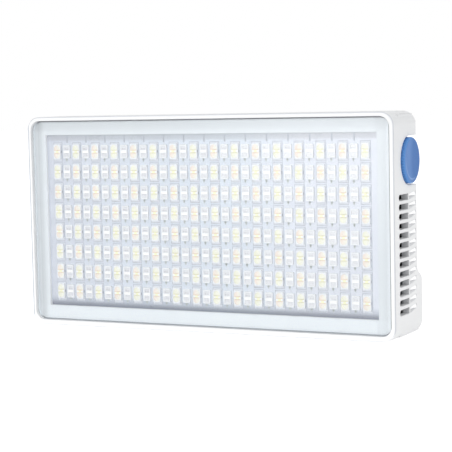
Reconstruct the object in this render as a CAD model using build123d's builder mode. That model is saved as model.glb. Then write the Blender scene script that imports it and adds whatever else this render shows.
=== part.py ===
"""Pocket LED panel light, built as an assembly of separate pieces.

Frame: +X towards the knob side, -Y is the lit front, +Z up. The origin is the mouth of the
tripod thread, in the middle of the flat underside. All sizes are in millimetres.
"""
from build123d import *
import os

# ---------------------------------------------------------------- driving dimensions
WIDTH = 148.0
HEIGHT = 79.5
DEPTH_UPPER = 23.6
DEPTH_LOWER = 28.6
CORNER_R = 4.8
MIDDLE_Z = 40.0
FRONT_Y = -14.1
BACK_UPPER_Y = FRONT_Y + DEPTH_UPPER
BACK_LOWER_Y = FRONT_Y + DEPTH_LOWER
STEP_TOP_Z = 23.4
STEP_FOOT_Z = 20.4
STEP_R = 2.6
FRONT_EDGE_R = 0.6
BACK_EDGE_R = 0.8

WALL = 2.6
BACK_WALL = 2.0
RIM_OPEN_W = 144.9
RIM_OPEN_H = 76.0
INNER_X = WIDTH / 2 - WALL
INNER_BACK_UPPER_Y = BACK_UPPER_Y - BACK_WALL
INNER_BACK_LOWER_Y = BACK_LOWER_Y - BACK_WALL
RIM_INNER_R = 3.7
COVER_SEAM = 0.1

COVER_W = 144.3
COVER_H = 75.4
COVER_R = 3.4
COVER_T = 1.0
COVER_SET_BACK = 0.7
COVER_Y = FRONT_Y + COVER_SET_BACK
GASKET_T = 0.25
BEZEL_T = 1.4
WINDOW_W = 134.2
WINDOW_H = 65.1
BEZEL_Y = COVER_Y + COVER_T + GASKET_T
BOARD_Y = BEZEL_Y + BEZEL_T
BOARD_T = 1.6
BOARD_W = 142.0
BOARD_H = 73.4

LED_COLUMNS = 16
LED_ROWS = 8
LED_PITCH_X = 8.34
LED_PITCH_Z = 7.6
LED_W = 3.0
LED_H = 5.6
LED_T = 0.8
RGB_W = 2.9
RGB_H = 5.0
LED_DROP = 0.4

PAD_T = 0.5
SINK_W = 138.0
SINK_H = 70.0
SINK_BASE_T = 1.5
FIN_L = 4.25
FIN_T = 1.0
FIN_COUNT = 19
FIN_W = 122.0
FIN_RELIEF_R = 9.6
FIN_RELIEF_Z = 4.0

SLOT_COUNT = 13
SLOT_PITCH = 3.333
SLOT_H = 2.15
SLOT_TOP_Z = MIDDLE_Z + 10.76
SLOT_FRONT_Y = -9.5
SLOT_REAR_Y = -0.1
RAMP_START_Y = 0.9
RAMP_END_Y = 7.6
RAMP_DEPTH = 0.9
SCOOP_DEPTH = 1.6

KNOB_Y = 1.44
KNOB_Z = MIDDLE_Z + 22.25
KNOB_R = 8.1
KNOB_FACE_X = 75.25
KNOB_T = 4.05
KNOB_RIBS = 52
POCKET_R = 8.65
POCKET_FLOOR_X = 70.7
POCKET_WALL = 1.5
SHAFT_R = 2.0
RUNNING_CLEARANCE = 0.05

POST_X = 66.6
POST_TOP_Z = 73.9
POST_FOOT_Z = 5.2
POST_MID_X = 18.0
POST_HALF = 3.0
SCREW_R = 0.95
SCREW_HOLE_R = 1.05
SCREW_HEAD_R = 1.8
SCREW_HEAD_T = 1.1

FAN_X = -9.0
FAN_Z = 50.4
FAN_SIZE = 40.0
FAN_T = 6.0
FAN_FRONT_Y = -1.4
FAN_DUCT_R = 19.0
FAN_BLADE_R = 18.4
FAN_HUB_R = 8.0
FAN_BLADES = 7
FAN_HOLE_PITCH = 32.0
FAN_SHAFT_R = 1.0
FAN_PLATE_T = 0.9
BLADE_CHORD = 7.6
BLADE_T = 0.7
BLADE_PITCH_ANGLE = 27
GRILLE_RINGS = 4
GRILLE_INNER_R = 5.5
GRILLE_STEP = 3.3
GRILLE_GAP = 2.0
GRILLE_SPOKE_W = 1.6

PANEL_X = 42.0
PANEL_BOARD_Y = 3.7
PANEL_BOARD_T = 1.2
DISPLAY_Z = 59.0
DISPLAY_W = 32.0
DISPLAY_H = 20.0
BUTTON_Z = 37.5
BUTTON_PITCH = 13.0
BUTTON_W = 9.0
BUTTON_H = 5.0
BUTTON_PROUD = 0.5
BUTTON_GAP = 0.3
BUTTON_FLANGE_T = 0.7

PORT_Z = 56.4
PORT_Y = 1.4
PORT_W = 8.9
PORT_H = 3.2
PORT_SHELL_T = 0.3
POWER_Z = 66.0
POWER_Y = 1.4
POWER_W = 8.0
POWER_H = 4.4
SIDE_BOARD_X = -66.6

THREAD_R = 3.2
THREAD_L = 7.0
DRILL_TIP_R = 0.3
DRILL_CONE_L = 1.75
INSERT_R = 5.5
INSERT_L = 9.6

CELL_L = 50.0
CELL_D = 12.4
CELL_H = 15.4
CELL_X = 37.5
CELL_Z = 10.9
CELL_PAD_T = 1.2

os.makedirs("parts", exist_ok=True)


def save(part, name):
    """Label one finished piece and write it as its own STEP file."""
    part.label = name
    export_step(part, f"parts/{name}.step")


def envelope(inset):
    """Outer form of the light, drawn in by inset: a stepped side profile cut to a rounded front."""
    top = HEIGHT - inset
    front = FRONT_Y + inset
    upper = BACK_UPPER_Y - inset
    lower = BACK_LOWER_Y - inset
    with BuildPart() as form:
        with BuildSketch(Plane.YZ):
            with BuildLine():
                Polyline(
                    (front, inset),
                    (front, top),
                    (upper, top),
                    (upper, STEP_TOP_Z - inset / 2),
                    (lower, STEP_FOOT_Z - inset / 2),
                    (lower, inset),
                    close=True,
                )
            profile = make_face()
            step = [v for v in profile.vertices() if STEP_FOOT_Z - 3 < v.Y < STEP_TOP_Z + 3]
            fillet(step, STEP_R)
        extrude(amount=WIDTH / 2 - inset, both=True)
        with BuildSketch(Plane.XZ):
            with Locations((0, HEIGHT / 2)):
                RectangleRounded(WIDTH - 2 * inset, HEIGHT - 2 * inset, CORNER_R - inset)
        extrude(amount=DEPTH_LOWER, both=True, mode=Mode.INTERSECT)
    return form.part


def front_prism(width, height, radius, y_front, y_back, middle_z=MIDDLE_Z):
    """Rounded rectangular block that faces the front, between two depths."""
    with BuildPart() as prism:
        with BuildSketch(Plane.XZ.offset(-y_front)):
            with Locations((0, middle_z)):
                RectangleRounded(width, height, radius)
        extrude(amount=y_front - y_back)
    return prism.part


def cylinder_y(x, z, radius, y_front, y_back):
    """Round bar along the depth of the light."""
    with BuildPart() as bar:
        with BuildSketch(Plane.XZ.offset(-y_front)):
            with Locations((x, z)):
                Circle(radius)
        extrude(amount=y_front - y_back)
    return bar.part


def block(x, y, z):
    """Plain box between pairs of X, Y and Z limits."""
    with BuildPart() as box:
        with Locations(((x[0] + x[1]) / 2, (y[0] + y[1]) / 2, (z[0] + z[1]) / 2)):
            Box(x[1] - x[0], y[1] - y[0], z[1] - z[0])
    return box.part


def screw(x, z, seat_y, tip_y):
    """Pan-head screw along Y with a cross recess; its head stands behind seat_y."""
    out = 1 if seat_y > tip_y else -1
    with BuildPart() as one:
        add(cylinder_y(x, z, SCREW_R, min(seat_y, tip_y), max(seat_y, tip_y)))
        head_y = seat_y + out * SCREW_HEAD_T
        add(cylinder_y(x, z, SCREW_HEAD_R, min(seat_y, head_y), max(seat_y, head_y)))
        recess = (min(head_y, head_y - out * 0.6), max(head_y, head_y - out * 0.6))
        add(block((x - 1.0, x + 1.0), recess, (z - 0.2, z + 0.2)), mode=Mode.SUBTRACT)
        add(block((x - 0.2, x + 0.2), recess, (z - 1.0, z + 1.0)), mode=Mode.SUBTRACT)
    return one.part


# Rear-cover screws: four corners and two along the top. The lower pair sits in the hump.
CASE_SCREWS = [
    (POST_X, POST_TOP_Z, BACK_UPPER_Y),
    (-POST_X, POST_TOP_Z, BACK_UPPER_Y),
    (POST_MID_X, POST_TOP_Z, BACK_UPPER_Y),
    (-POST_MID_X, POST_TOP_Z, BACK_UPPER_Y),
    (POST_X, POST_FOOT_Z, BACK_LOWER_Y),
    (-POST_X, POST_FOOT_Z, BACK_LOWER_Y),
]
SINK_Y = BOARD_Y + BOARD_T + PAD_T
SINK_BACK_Y = SINK_Y + SINK_BASE_T
POCKET_TOP_Z = KNOB_Z + POCKET_R
POCKET_FOOT_Z = KNOB_Z - POCKET_R


# ---------------------------------------------------------------- casing
def vent_opening(side):
    """Through part of the vents: a round front end and a straight rear end."""
    with BuildPart() as cut:
        with BuildSketch(Plane.YZ.offset(side * (INNER_X - 0.5))):
            for k in range(SLOT_COUNT):
                z = SLOT_TOP_Z - SLOT_H / 2 - k * SLOT_PITCH
                with Locations(((SLOT_FRONT_Y + SLOT_H / 2 + SLOT_REAR_Y) / 2, z)):
                    Rectangle(SLOT_REAR_Y - SLOT_FRONT_Y - SLOT_H / 2, SLOT_H)
                with Locations((SLOT_FRONT_Y + SLOT_H / 2, z)):
                    Circle(SLOT_H / 2)
        extrude(amount=side * (WALL + 1.5))
    return cut.part


def vent_ramps(side):
    """Behind each vent: a tilted ramp above and a scoop below it, both running out to the rear."""
    with BuildPart() as cut:
        for k in range(SLOT_COUNT):
            top = SLOT_TOP_Z - k * SLOT_PITCH
            foot = top - SLOT_H
            ridge = top - 1.0
            deep_end = [(0.5, top - 0.35), (-RAMP_DEPTH, top - 0.35), (0.2 - RAMP_DEPTH, ridge),
                        (-SCOOP_DEPTH, ridge - 0.1), (0, foot), (0.5, foot)]
            shallow_end = [(0.5, top + 0.5), (-0.35, top + 0.5), (0, ridge + 0.05),
                           (-0.05, ridge), (0, ridge - 0.15), (0.5, ridge - 0.15)]
            for y, outline in ((RAMP_START_Y, deep_end), (RAMP_END_Y, shallow_end)):
                with BuildSketch(Plane.XZ.offset(-y)):
                    with BuildLine():
                        Polyline(*[(side * (WIDTH / 2 + x), z) for x, z in outline], close=True)
                    make_face()
            loft(ruled=True)
    return cut.part


def build_casing():
    """One-piece body: four walls, front rim, knob pocket, screw posts and insert boss."""
    with BuildPart() as casing:
        add(envelope(0))
        front_loop = casing.faces().sort_by(Axis.Y)[0].outer_wire().edges()
        fillet(front_loop, FRONT_EDGE_R)
        back_edges = [e for e in casing.edges() if e.center().Y > BACK_UPPER_Y - 0.1]
        back_loop = [e for e in back_edges if abs(e.center().X) > WIDTH / 2 - CORNER_R
                     or not 1 < e.center().Z < HEIGHT - 1]
        fillet(back_loop, BACK_EDGE_R)
        add(front_prism(RIM_OPEN_W, RIM_OPEN_H, RIM_INNER_R, FRONT_Y - 1, BOARD_Y), mode=Mode.SUBTRACT)
        add(front_prism(2 * INNER_X, HEIGHT - 2 * WALL, CORNER_R - WALL, BOARD_Y - 1, BACK_LOWER_Y + 1,
                        HEIGHT / 2), mode=Mode.SUBTRACT)
        # screw posts run from the heat sink to the rear cover
        for x, z, back_y in CASE_SCREWS:
            side = 1 if x > 0 else -1
            wall_z = (z - POST_HALF, HEIGHT - 1) if z > MIDDLE_Z else (1, z + 2.6)
            outer_x = side * (WIDTH / 2 - 1) if abs(x) == POST_X else x + side * POST_HALF
            wall_x = sorted((x - side * POST_HALF, outer_x))
            add(block(wall_x, (SINK_BACK_Y + 0.05, back_y - BACK_WALL - 0.05), wall_z))
            add(cylinder_y(x, z, SCREW_HOLE_R, SINK_BACK_Y - 1, back_y), mode=Mode.SUBTRACT)
        # pocket for the knob: a U-shaped recess, open to the back
        pocket_x = (POCKET_FLOOR_X - POCKET_WALL, WIDTH / 2 - 0.5)
        pocket_z = (POCKET_FOOT_Z - POCKET_WALL, POCKET_TOP_Z + POCKET_WALL)
        add(block(pocket_x, (KNOB_Y - POCKET_R - POCKET_WALL, BACK_UPPER_Y - 0.4), pocket_z))
        with BuildSketch(Plane.YZ.offset(POCKET_FLOOR_X)):
            with Locations((KNOB_Y, KNOB_Z)):
                Circle(POCKET_R)
            with Locations((KNOB_Y + POCKET_R, KNOB_Z)):
                Rectangle(2 * POCKET_R, 2 * POCKET_R)
        extrude(amount=10, mode=Mode.SUBTRACT)
        with BuildSketch(Plane.YZ.offset(POCKET_FLOOR_X - POCKET_WALL - 1)):
            with Locations((KNOB_Y, KNOB_Z)):
                Circle(SHAFT_R + 0.4)
        extrude(amount=4, mode=Mode.SUBTRACT)
        for side in (1, -1):
            add(vent_opening(side), mode=Mode.SUBTRACT)
            add(vent_ramps(side), mode=Mode.SUBTRACT)
        # charging port and power button openings on the left side
        with BuildSketch(Plane.YZ.offset(-WIDTH / 2 - 1)):
            with Locations((PORT_Y, PORT_Z)):
                SlotOverall(PORT_W + 0.4, PORT_H + 0.4, rotation=90)
            with Locations((POWER_Y, POWER_Z)):
                SlotOverall(POWER_W, POWER_H, rotation=90)
        extrude(amount=WALL + 2, mode=Mode.SUBTRACT)
        # boss and bore for the brass tripod insert
        with BuildSketch(Plane.XY.offset(1)):
            Circle(INSERT_R + 1.4)
        extrude(amount=INSERT_L - 1)
        with BuildSketch(Plane.XY.offset(-1)):
            Circle(INSERT_R)
        extrude(amount=INSERT_L + 3, mode=Mode.SUBTRACT)
    return casing.part


# ---------------------------------------------------------------- rear cover
def fan_grille():
    """Openings of the intake grille: rings cut by six spokes, round a solid hub."""
    with BuildPart() as cut:
        with BuildSketch(Plane.XZ.offset(-(INNER_BACK_UPPER_Y - 1))):
            with Locations((FAN_X, FAN_Z)):
                for step in reversed(range(GRILLE_RINGS)):
                    inner = GRILLE_INNER_R + GRILLE_STEP * step
                    Circle(inner + GRILLE_GAP)
                    Circle(inner, mode=Mode.SUBTRACT)
                for spoke in range(3):
                    Rectangle(60, GRILLE_SPOKE_W, rotation=60 * spoke, mode=Mode.SUBTRACT)
        extrude(amount=-(BACK_WALL + 2))
    return cut.part


def build_rear_cover():
    """Stepped back plate that drops into the casing and is held by six screws."""
    seam = WALL + COVER_SEAM
    with BuildPart() as cover:
        add(envelope(0))
        add(front_prism(WIDTH - 2 * seam, HEIGHT - 2 * seam, CORNER_R - WALL, 3, BACK_LOWER_Y + 1,
                        HEIGHT / 2), mode=Mode.INTERSECT)
        add(envelope(BACK_WALL), mode=Mode.SUBTRACT)
        clearance = POCKET_WALL + COVER_SEAM
        add(block((POCKET_FLOOR_X - clearance, WIDTH / 2), (0, BACK_LOWER_Y),
                  (POCKET_FOOT_Z - clearance, POCKET_TOP_Z + clearance)), mode=Mode.SUBTRACT)
        for x, z, back_y in CASE_SCREWS:
            add(cylinder_y(x, z, SCREW_HOLE_R, back_y - 4, back_y + 1), mode=Mode.SUBTRACT)
            add(cylinder_y(x, z, SCREW_HEAD_R + 0.2, back_y - 1.2, back_y + 1), mode=Mode.SUBTRACT)
        add(fan_grille(), mode=Mode.SUBTRACT)
        # standoffs for the fan and the control board
        for x, z in fan_corners():
            add(cylinder_y(x, z, 2.2, FAN_FRONT_Y + FAN_T, INNER_BACK_UPPER_Y + 0.5))
            add(cylinder_y(x, z, SCREW_HOLE_R, FAN_FRONT_Y, INNER_BACK_UPPER_Y + 1), mode=Mode.SUBTRACT)
        for x, z in panel_corners():
            add(cylinder_y(x, z, 2.0, PANEL_BOARD_Y + PANEL_BOARD_T, INNER_BACK_UPPER_Y + 0.5))
            add(cylinder_y(x, z, SCREW_HOLE_R, 0, INNER_BACK_UPPER_Y + 1), mode=Mode.SUBTRACT)
        # display opening with a shallow seat for its window
        add(panel_prism(DISPLAY_W, DISPLAY_H, 1.6, BACK_UPPER_Y - 0.9, BACK_UPPER_Y + 1), mode=Mode.SUBTRACT)
        add(panel_prism(DISPLAY_W - 3, DISPLAY_H - 3, 1.0, BACK_UPPER_Y - 4, BACK_UPPER_Y + 1),
            mode=Mode.SUBTRACT)
        with BuildSketch(Plane.XZ.offset(-(INNER_BACK_UPPER_Y - 1))):
            with Locations(*[(x, BUTTON_Z) for x in button_places()]):
                SlotOverall(BUTTON_W + 2 * BUTTON_GAP, BUTTON_H + 2 * BUTTON_GAP)
        extrude(amount=-(BACK_WALL + 2), mode=Mode.SUBTRACT)
    return cover.part


def panel_prism(width, height, radius, y_front, y_back, middle_z=DISPLAY_Z):
    """Rounded block centred on the control panel at the back."""
    return front_prism(width, height, radius, y_front, y_back, middle_z).moved(Location((PANEL_X, 0, 0)))


def fan_corners():
    half = FAN_HOLE_PITCH / 2
    return [(FAN_X + sx * half, FAN_Z + sz * half) for sx in (-1, 1) for sz in (-1, 1)]


def panel_corners():
    return [(PANEL_X + sx * 16.5, z) for sx in (-1, 1) for z in (30.0, 71.6)]


def button_places():
    return [PANEL_X + k * BUTTON_PITCH for k in (-1, 0, 1)]


# ---------------------------------------------------------------- front stack
def build_front_cover():
    """Clear window plate, set a little below the rim."""
    with BuildPart() as cover:
        add(front_prism(COVER_W, COVER_H, COVER_R, COVER_Y, COVER_Y + COVER_T))
        fillet(cover.faces().sort_by(Axis.Y)[0].edges(), 0.2)
    return cover.part


def ring(outer, inner, outer_r, inner_r, y_front, y_back):
    """Rectangular ring: outer and inner are (width, height)."""
    with BuildPart() as frame:
        add(front_prism(*outer, outer_r, y_front, y_back))
        with BuildSketch(Plane.XZ.offset(-y_front)):
            with Locations((0, MIDDLE_Z)):
                if inner_r > 0:
                    RectangleRounded(*inner, inner_r)
                else:
                    Rectangle(*inner)
        extrude(amount=y_front - y_back, mode=Mode.SUBTRACT)
    return frame.part


def led_places(kind):
    """Centres of one kind of LED: warm and cool alternate, RGB stands between their columns."""
    places = []
    for row in range(LED_ROWS):
        z = MIDDLE_Z - LED_DROP + (LED_ROWS / 2 - 0.5 - row) * LED_PITCH_Z
        for column in range(LED_COLUMNS):
            x = (column - LED_COLUMNS / 2 + 0.5) * LED_PITCH_X
            if kind == "rgb" and column < LED_COLUMNS - 1:
                places.append((x + LED_PITCH_X / 2, z))
            if kind == "warm" and (row + column) % 2 == 0:
                places.append((x, z))
            if kind == "cool" and (row + column) % 2 == 1:
                places.append((x, z))
    return places


def build_leds(kind):
    """Surface-mounted LED packages standing on the front of the LED board."""
    width, height = (RGB_W, RGB_H) if kind == "rgb" else (LED_W, LED_H)
    with BuildPart() as leds:
        with BuildSketch(Plane.XZ.offset(-BOARD_Y)):
            with Locations(*led_places(kind)):
                Rectangle(width, height)
        extrude(amount=LED_T)
    return leds.part


def build_heat_sink():
    """Finned aluminium plate; the fins run across, at the same pitch as the side vents."""
    with BuildPart() as sink:
        add(front_prism(SINK_W, SINK_H, 2.0, SINK_Y, SINK_BACK_Y))
        with BuildSketch(Plane.XZ.offset(-SINK_BACK_Y)):
            with Locations((0, MIDDLE_Z)):
                with GridLocations(1, SLOT_PITCH, 1, FIN_COUNT):
                    Rectangle(FIN_W, FIN_T)
        extrude(amount=-FIN_L)
        for x, z, _ in CASE_SCREWS:
            add(block((x - 3.4, x + 3.4), (SINK_BACK_Y, SINK_BACK_Y + FIN_L + 1), (z - 3.6, z + 3.6)),
                mode=Mode.SUBTRACT)
            add(cylinder_y(x, z, SCREW_HOLE_R, SINK_Y, SINK_BACK_Y), mode=Mode.SUBTRACT)
        add(cylinder_y(0, FIN_RELIEF_Z, FIN_RELIEF_R, SINK_BACK_Y, SINK_BACK_Y + FIN_L + 1),
            mode=Mode.SUBTRACT)
    return sink.part


# ---------------------------------------------------------------- fan
def build_fan_frame():
    """Square frame with a round duct, a motor plate on three struts, and four screw holes."""
    with BuildPart() as frame:
        add(front_prism(FAN_SIZE, FAN_SIZE, 3.0, FAN_FRONT_Y, FAN_FRONT_Y + FAN_T, FAN_Z)
            .moved(Location((FAN_X, 0, 0))))
        add(cylinder_y(FAN_X, FAN_Z, FAN_DUCT_R, FAN_FRONT_Y - 1, FAN_FRONT_Y + FAN_T + 1),
            mode=Mode.SUBTRACT)
        with BuildSketch(Plane.XZ.offset(-FAN_FRONT_Y)):
            with Locations((FAN_X, FAN_Z)):
                Circle(FAN_HUB_R)
                with PolarLocations(FAN_DUCT_R / 2 + 1, 3, start_angle=90):
                    Rectangle(FAN_DUCT_R, 2.0)
        extrude(amount=-FAN_PLATE_T)
        add(cylinder_y(FAN_X, FAN_Z, FAN_SHAFT_R + RUNNING_CLEARANCE, FAN_FRONT_Y - 1, FAN_FRONT_Y + 2),
            mode=Mode.SUBTRACT)
        for x, z in fan_corners():
            add(cylinder_y(x, z, SCREW_HOLE_R, FAN_FRONT_Y - 1, FAN_FRONT_Y + FAN_T + 1),
                mode=Mode.SUBTRACT)
    return frame.part


def build_fan_rotor():
    """Hub cup with seven pitched blades."""
    y_front = FAN_FRONT_Y + 1.3
    y_back = FAN_FRONT_Y + FAN_T - 0.5
    with BuildPart() as rotor:
        add(cylinder_y(FAN_X, FAN_Z, FAN_HUB_R, y_front, y_back))
        blade_plane = Plane(origin=(FAN_X, (y_front + y_back) / 2, FAN_Z), x_dir=(1, 0, 0), z_dir=(0, 0, 1))
        with BuildPart(mode=Mode.PRIVATE) as blade:
            with BuildSketch(Plane.XY):
                Rectangle(BLADE_CHORD, BLADE_T, rotation=BLADE_PITCH_ANGLE)
            extrude(amount=FAN_BLADE_R)
        for k in range(FAN_BLADES):
            turn = Rotation(0, 360 / FAN_BLADES * k, 0)
            add(blade_plane.location * turn * blade.part)
        add(cylinder_y(FAN_X, FAN_Z, FAN_BLADE_R, y_front, y_back), mode=Mode.INTERSECT)
        add(cylinder_y(FAN_X, FAN_Z, FAN_SHAFT_R, y_front - 1, y_front + 2.6), mode=Mode.SUBTRACT)
    return rotor.part


# ---------------------------------------------------------------- knob and encoder
def build_knob():
    """Flat disc with a ribbed rim, a soft outer edge and a shallow dished face."""
    back_x = KNOB_FACE_X - KNOB_T
    groove_r = 0.34
    dish_r = 6.7
    dish_depth = 0.35
    sphere_r = (dish_r ** 2 + dish_depth ** 2) / (2 * dish_depth)
    with BuildPart() as knob:
        with BuildSketch(Plane.YZ.offset(back_x)):
            with Locations((KNOB_Y, KNOB_Z)):
                Circle(KNOB_R)
        extrude(amount=KNOB_T)
        fillet(knob.faces().sort_by(Axis.X)[-1].edges(), 0.7)
        fillet(knob.faces().sort_by(Axis.X)[0].edges(), 0.25)
        with BuildSketch(Plane.YZ.offset(back_x - 1)):
            with Locations((KNOB_Y, KNOB_Z)):
                with PolarLocations(KNOB_R + 0.14, KNOB_RIBS):
                    Circle(groove_r)
        extrude(amount=KNOB_T + 0.55, mode=Mode.SUBTRACT)
        with Locations((KNOB_FACE_X + sphere_r - dish_depth, KNOB_Y, KNOB_Z)):
            Sphere(sphere_r, mode=Mode.SUBTRACT)
        with BuildSketch(Plane.YZ.offset(back_x - 1)):
            with Locations((KNOB_Y, KNOB_Z)):
                Circle(SHAFT_R)
        extrude(amount=1 + 2.6, mode=Mode.SUBTRACT)
    return knob.part


def cylinder_x(radius, x_low, x_high, y=KNOB_Y, z=KNOB_Z):
    """Round bar across the light."""
    with BuildPart() as bar:
        with BuildSketch(Plane.YZ.offset(x_low)):
            with Locations((y, z)):
                Circle(radius)
        extrude(amount=x_high - x_low)
    return bar.part


ENCODER_X = (62.2, POCKET_FLOOR_X - POCKET_WALL - 0.1)


def build_encoder_body():
    """Square encoder housing with a bore for its shaft."""
    with BuildPart() as body:
        add(block(ENCODER_X, (KNOB_Y - 4.5, KNOB_Y + 4.5), (KNOB_Z - 4.8, KNOB_Z + 4.8)))
        chamfer(body.edges().filter_by(Axis.X), 0.6)
        add(cylinder_x(SHAFT_R + RUNNING_CLEARANCE, ENCODER_X[0] + 2, ENCODER_X[1] + 1), mode=Mode.SUBTRACT)
    return body.part


# ---------------------------------------------------------------- buttons, boards and port
def build_panel_button(x):
    """Pill-shaped key with a flange inside the rear cover and a stem over its switch."""
    flange_back = INNER_BACK_UPPER_Y - 0.35
    flange_front = flange_back - BUTTON_FLANGE_T
    with BuildPart() as key:
        with BuildSketch(Plane.XZ.offset(-(BACK_UPPER_Y + BUTTON_PROUD))):
            with Locations((x, BUTTON_Z)):
                SlotOverall(BUTTON_W, BUTTON_H)
        extrude(amount=BACK_UPPER_Y + BUTTON_PROUD - flange_front)
        fillet(key.faces().sort_by(Axis.Y)[-1].edges(), 0.3)
        with BuildSketch(Plane.XZ.offset(-flange_back)):
            with Locations((x, BUTTON_Z)):
                SlotOverall(BUTTON_W + 2, BUTTON_H + 2)
        extrude(amount=BUTTON_FLANGE_T)
    return key.part


def build_power_button():
    """Pill-shaped key in the left side wall."""
    face_x = -WIDTH / 2 - BUTTON_PROUD
    flange_x = -INNER_X + 0.35
    with BuildPart() as key:
        with BuildSketch(Plane.YZ.offset(face_x)):
            with Locations((POWER_Y, POWER_Z)):
                SlotOverall(POWER_W - 2 * BUTTON_GAP, POWER_H - 2 * BUTTON_GAP, rotation=90)
        extrude(amount=flange_x - face_x + BUTTON_FLANGE_T)
        fillet(key.faces().sort_by(Axis.X)[0].edges(), 0.3)
        with BuildSketch(Plane.YZ.offset(flange_x)):
            with Locations((POWER_Y, POWER_Z)):
                SlotOverall(POWER_W + 1.0, POWER_H + 1.6, rotation=90)
        extrude(amount=BUTTON_FLANGE_T)
        with BuildSketch(Plane.YZ.offset(flange_x)):
            with Locations((POWER_Y, POWER_Z)):
                Circle(1.4)
        extrude(amount=2.0)
    return key.part


def build_control_board():
    """Board behind the control panel, with screw holes in its corners."""
    board_z = (28.0, 73.6)
    with BuildPart() as board:
        add(block((PANEL_X - 19, PANEL_X + 19), (PANEL_BOARD_Y, PANEL_BOARD_Y + PANEL_BOARD_T), board_z))
        for x, z in panel_corners():
            add(cylinder_y(x, z, SCREW_HOLE_R, 0, 8), mode=Mode.SUBTRACT)
    return board.part


def build_switches():
    """Three tact switches on the control board, one under each key."""
    base_y = PANEL_BOARD_Y + PANEL_BOARD_T
    with BuildPart() as switches:
        for x in button_places():
            add(block((x - 2, x + 2), (base_y, base_y + 0.6), (BUTTON_Z - 2, BUTTON_Z + 2)))
            add(cylinder_y(x, BUTTON_Z, 1.1, base_y, base_y + 0.9))
    return switches.part


def build_usb_port():
    """USB-C receptacle: a rounded metal shell with its tongue inside."""
    back_x = SIDE_BOARD_X
    with BuildPart() as port:
        with BuildSketch(Plane.YZ.offset(-WIDTH / 2 + 0.2)):
            with Locations((PORT_Y, PORT_Z)):
                SlotOverall(PORT_W, PORT_H, rotation=90)
        extrude(amount=back_x + WIDTH / 2 - 0.2)
        with BuildSketch(Plane.YZ.offset(-WIDTH / 2 + 0.2)):
            with Locations((PORT_Y, PORT_Z)):
                SlotOverall(PORT_W - 2 * PORT_SHELL_T, PORT_H - 2 * PORT_SHELL_T, rotation=90)
        extrude(amount=6.2, mode=Mode.SUBTRACT)
        add(block((-WIDTH / 2 + 0.9, back_x - 0.6), (PORT_Y - 0.35, PORT_Y + 0.35),
                  (PORT_Z - 3.3, PORT_Z + 3.3)))
    return port.part


def build_power_switch():
    """Tact switch on the side board, under the power button."""
    with BuildPart() as switch:
        add(block((SIDE_BOARD_X - 1.0, SIDE_BOARD_X), (POWER_Y - 2, POWER_Y + 2), (POWER_Z - 2, POWER_Z + 2)))
        add(cylinder_x(1.0, SIDE_BOARD_X - 1.4, SIDE_BOARD_X, POWER_Y, POWER_Z))
    return switch.part


def build_battery_cells():
    """Two soft-edged lithium cells, one each side of the tripod insert."""
    back_y = INNER_BACK_LOWER_Y - CELL_PAD_T
    with BuildPart() as cells:
        for side in (1, -1):
            x = side * CELL_X
            add(block((x - CELL_L / 2, x + CELL_L / 2), (back_y - CELL_D, back_y),
                      (CELL_Z - CELL_H / 2, CELL_Z + CELL_H / 2)))
        fillet(cells.edges().filter_by(Axis.X), 2.0)
    return cells.part


def build_battery_pads():
    """Foam tape between the cells and the rear cover."""
    with BuildPart() as pads:
        for side in (1, -1):
            x = side * CELL_X
            add(block((x - 22, x + 22), (INNER_BACK_LOWER_Y - CELL_PAD_T, INNER_BACK_LOWER_Y),
                      (CELL_Z - 5, CELL_Z + 5)))
    return pads.part


def build_tripod_insert():
    """Flush brass insert with a blind drilled hole for the tripod screw."""
    with BuildPart() as insert:
        with BuildSketch(Plane.XY):
            Circle(INSERT_R)
        extrude(amount=INSERT_L)
        chamfer(insert.edges().sort_by(Axis.Z)[-1], 0.5)
        with BuildSketch(Plane.XY):
            Circle(THREAD_R)
        extrude(amount=THREAD_L, mode=Mode.SUBTRACT)
        with Locations((0, 0, THREAD_L + DRILL_CONE_L / 2)):
            Cone(THREAD_R, DRILL_TIP_R, DRILL_CONE_L, mode=Mode.SUBTRACT)
    return insert.part


def build_screws(places, seat_y, tip_y):
    """Group of equal screws at (x, z) places."""
    with BuildPart() as group:
        for x, z in places:
            add(screw(x, z, seat_y, tip_y))
    return group.part


def build_case_screws():
    with BuildPart() as group:
        for x, z, back_y in CASE_SCREWS:
            add(screw(x, z, back_y - 1.2, SINK_Y + 0.1))
    return group.part


# ---------------------------------------------------------------- write every piece
save(build_casing(), "casing")
save(build_rear_cover(), "rear_cover")
save(build_front_cover(), "front_cover")
save(ring((RIM_OPEN_W - 0.1, RIM_OPEN_H - 0.1), (141.4, 72.6), RIM_INNER_R - 0.1, 2.2, COVER_Y + COVER_T,
          BEZEL_Y), "cover_gasket")
save(ring((RIM_OPEN_W - 0.4, RIM_OPEN_H - 0.4), (WINDOW_W, WINDOW_H), RIM_INNER_R - 0.3, 0, BEZEL_Y,
          BOARD_Y), "bezel_frame")
save(front_prism(BOARD_W, BOARD_H, 2.0, BOARD_Y, BOARD_Y + BOARD_T), "led_board")
save(build_leds("warm"), "warm_leds")
save(build_leds("cool"), "cool_leds")
save(build_leds("rgb"), "rgb_leds")
save(front_prism(SINK_W, SINK_H, 2.0, BOARD_Y + BOARD_T, SINK_Y), "thermal_pad")
save(build_heat_sink(), "heat_sink")
save(build_fan_frame(), "fan_frame")
save(build_fan_rotor(), "fan_rotor")
save(cylinder_y(FAN_X, FAN_Z, FAN_SHAFT_R, FAN_FRONT_Y + 0.1, FAN_FRONT_Y + 3.9), "fan_shaft")
save(build_screws(fan_corners(), FAN_FRONT_Y, INNER_BACK_UPPER_Y - 0.2), "fan_screws")
save(build_control_board(), "control_board")
save(build_screws(panel_corners(), PANEL_BOARD_Y, INNER_BACK_UPPER_Y - 0.2), "board_screws")
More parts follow.
